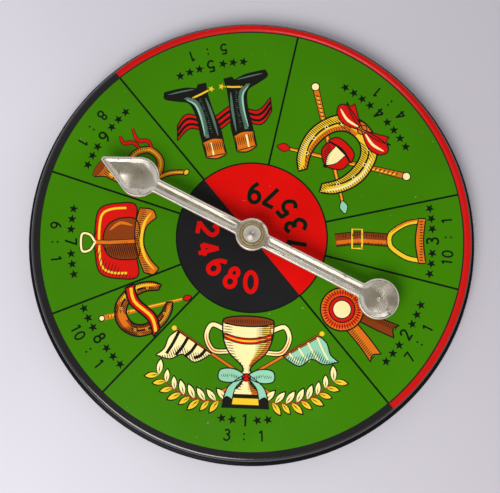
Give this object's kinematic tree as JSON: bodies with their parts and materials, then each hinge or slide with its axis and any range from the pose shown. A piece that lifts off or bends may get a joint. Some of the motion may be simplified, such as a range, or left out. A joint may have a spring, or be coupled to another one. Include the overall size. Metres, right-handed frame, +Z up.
{
  "type": "spinner race game",
  "caption": "Round printed tinplate game dial on a rolled foot, with a long metal pointer that spins on a central pivot over unequal sectors.",
  "frame": {"origin": "middle of the ring that the pan stands on, at table height", "axes": "+Z up through the pivot, +Y towards the top of the dial, +X to the right as the dial is read"},
  "size_m": [0.2206, 0.2206, 0.0236],
  "materials": {
    "printed_tinplate": "gloss lithographed",
    "nickel_plate": "worn bright nickel",
    "brass": "dull",
    "bare_steel": "dull zinc plated",
    "ink_green": "gloss lithographed",
    "ink_black": "gloss lithographed",
    "ink_red": "gloss lithographed",
    "ink_colours": "gloss lithographed"
  },
  "bodies": {
    "base": {"dial_pan": "printed_tinplate", "stiffener_plate": "bare_steel", "spindle": "bare_steel", "pillar": "nickel_plate", "lower_washer": "brass", "upper_washer": "brass", "cup_washer": "brass", "cap_nut": "nickel_plate", "lock_washer": "bare_steel", "spindle_nut": "bare_steel"},
    "spinner": {"pointer": "nickel_plate", "pointer_bush": "brass"}
  },
  "joints": [
    {"name": "pointer_spin", "type": "hinge", "parent": "base", "child": "spinner", "pos_m": [0, 0, 0.0196], "axis": [0, 0, 1], "continuous": true}
  ]
}
